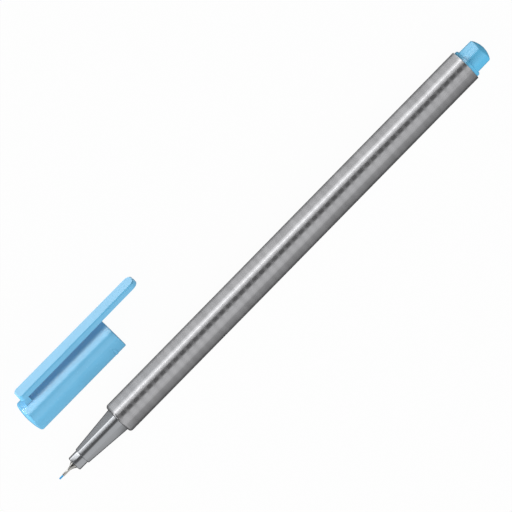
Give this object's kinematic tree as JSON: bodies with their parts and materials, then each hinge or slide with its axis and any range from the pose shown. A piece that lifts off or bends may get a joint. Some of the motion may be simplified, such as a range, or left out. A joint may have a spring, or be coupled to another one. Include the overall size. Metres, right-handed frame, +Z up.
{
  "type": "fineliner pen",
  "caption": "Fineliner pen with a soft triangular barrel, tapering nose, metal-sleeved fibre nib and blue tail plug; its blue cap with a springy pocket clip lies taken off beside it.",
  "frame": {"origin": "centre of the flat that the barrel rests on, halfway along the barrel", "axes": "+X along the pen from nib to tail, +Y towards the side where the cap lies, +Z up"},
  "size_m": [0.1507, 0.0279, 0.0094],
  "materials": {
    "silver_barrel": "satin",
    "grey_nose": "satin",
    "tip_metal": "satin",
    "inked_fibre": "matte",
    "wick_fibre": "matte",
    "reservoir_fibre": "matte",
    "wrap_film": "gloss",
    "blue_plastic": "gloss"
  },
  "bodies": {
    "pen": {"barrel": "silver_barrel", "nose_section": "grey_nose", "tip_sleeve": "tip_metal", "fibre_nib": "inked_fibre", "feed_wick": "wick_fibre", "ink_reservoir": "reservoir_fibre", "reservoir_film": "wrap_film", "tail_plug": "blue_plastic"},
    "cap": {"cap_shell": "blue_plastic"},
    "clip": {"pocket_clip": "blue_plastic"}
  },
  "joints": [
    {"name": "cap_slide", "type": "slide", "parent": "pen", "child": "cap", "axis": [-1, 0, 0], "range_m": [0, 0.0375]},
    {"name": "clip_flex", "type": "hinge", "parent": "cap", "child": "clip", "pos_m": [-0.0741, 0.01955, 0.00578], "axis": [0, -0.5, 0.866], "range_deg": [0, 3], "stiffness_Nm_per_rad": 0.1}
  ]
}
